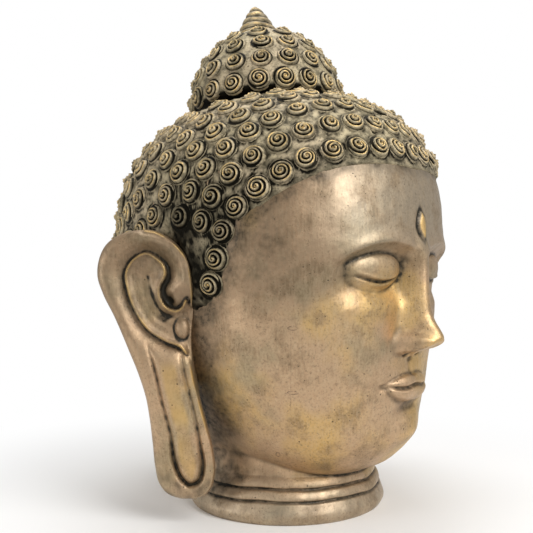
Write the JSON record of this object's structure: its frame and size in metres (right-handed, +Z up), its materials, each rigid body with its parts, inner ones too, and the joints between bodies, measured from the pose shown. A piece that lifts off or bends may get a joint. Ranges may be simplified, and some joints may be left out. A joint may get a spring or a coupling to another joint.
{
  "type": "buddha head sculpture",
  "caption": "Cast bronze Buddha head with snail-curl hair, long ear lobes and a banded neck, standing on its flat cut neck, with a separate curled ushnisha resting on the crown.",
  "frame": {"origin": "centre of the flat underside of the neck, where the head stands", "axes": "+Z up, the face looks along -Y, +X is the head's left"},
  "size_m": [0.3034, 0.2852, 0.4057],
  "materials": {
    "rubbed_bronze": "cast bronze rubbed to a warm satin, with brown and olive patina and small pits",
    "dark_bronze": "cast bronze with a dark olive-brown patina, brassy on the ridges and black in the grooves"
  },
  "bodies": {
    "root": {"head": "rubbed_bronze", "ushnisha": "dark_bronze"}
  },
  "joints": []
}
